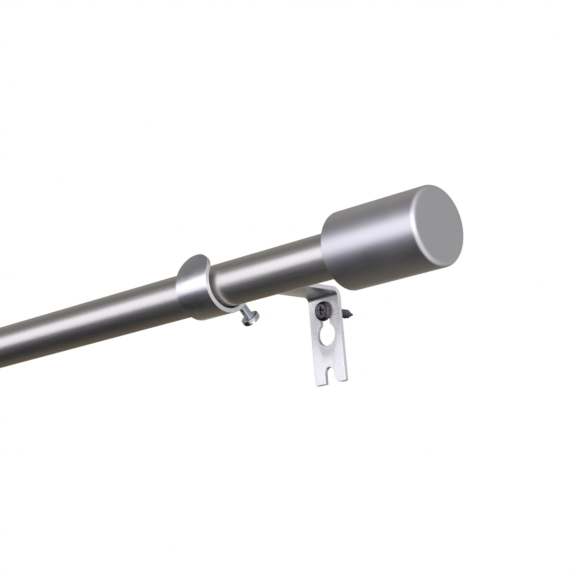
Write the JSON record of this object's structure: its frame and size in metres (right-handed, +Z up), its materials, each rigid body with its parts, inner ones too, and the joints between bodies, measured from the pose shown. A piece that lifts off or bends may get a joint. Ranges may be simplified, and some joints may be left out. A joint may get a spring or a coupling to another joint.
{
  "type": "curtain rod with brackets",
  "caption": "Telescoping round curtain rod with cylindrical end caps, lying in two hook-shaped strap brackets with keyhole wall plates and clamping screws.",
  "frame": {"origin": "on the wall face, on the right bracket's centre line, in the web between its keyhole and its fork, 25 mm below and 72 mm behind the rod's axis", "axes": "+X along the rod to its right-hand end, +Y into the wall, +Z up"},
  "size_m": [0.792, 0.106, 0.0534],
  "materials": {
    "zinc_plated_steel": "bright zinc plating, finely brushed",
    "bright_zinc_screw": "blue-white zinc plating",
    "black_zinc_screw": "black zinc plating, semi-gloss",
    "satin_nickel_tube": "satin nickel, brushed along the tube",
    "grey_nylon": "moulded",
    "satin_silver_cap": "bead-blasted satin silver",
    "black_abs": "moulded"
  },
  "bodies": {
    "brackets": {"bracket_right": "zinc_plated_steel", "bracket_left": "zinc_plated_steel", "wall_screw_right": "black_zinc_screw", "wall_screw_left": "black_zinc_screw"},
    "rod": {"outer_tube": "satin_nickel_tube", "tube_collar": "grey_nylon"},
    "inner_rod": {"inner_tube": "satin_nickel_tube", "tube_glide": "grey_nylon"},
    "finial_right": {"finial_shell_right": "satin_silver_cap", "finial_core_right": "black_abs"},
    "finial_left": {"finial_shell_left": "satin_silver_cap", "finial_core_left": "black_abs"},
    "clamp_right": {"clamp_screw_right": "bright_zinc_screw"},
    "clamp_left": {"clamp_screw_left": "bright_zinc_screw"}
  },
  "joints": [
    {"name": "rod_lift", "type": "slide", "parent": "brackets", "child": "rod", "axis": [0, 0.4226, 0.9063], "range_m": [0, 0.024]},
    {"name": "rod_extend", "type": "slide", "parent": "rod", "child": "inner_rod", "axis": [-1, 0, 0], "range_m": [0, 0.5]},
    {"name": "finial_right_pull", "type": "slide", "parent": "rod", "child": "finial_right", "axis": [1, 0, 0], "range_m": [0, 0.03]},
    {"name": "finial_left_pull", "type": "slide", "parent": "inner_rod", "child": "finial_left", "axis": [-1, 0, 0], "range_m": [0, 0.03]},
    {"name": "clamp_screw_right_turn", "type": "slide", "parent": "brackets", "child": "clamp_right", "axis": [0, -0.7071, 0.7071], "range_m": [-0.002, 0.0016]},
    {"name": "clamp_screw_left_turn", "type": "slide", "parent": "brackets", "child": "clamp_left", "axis": [0, -0.7071, 0.7071], "range_m": [-0.002, 0.0016]}
  ]
}
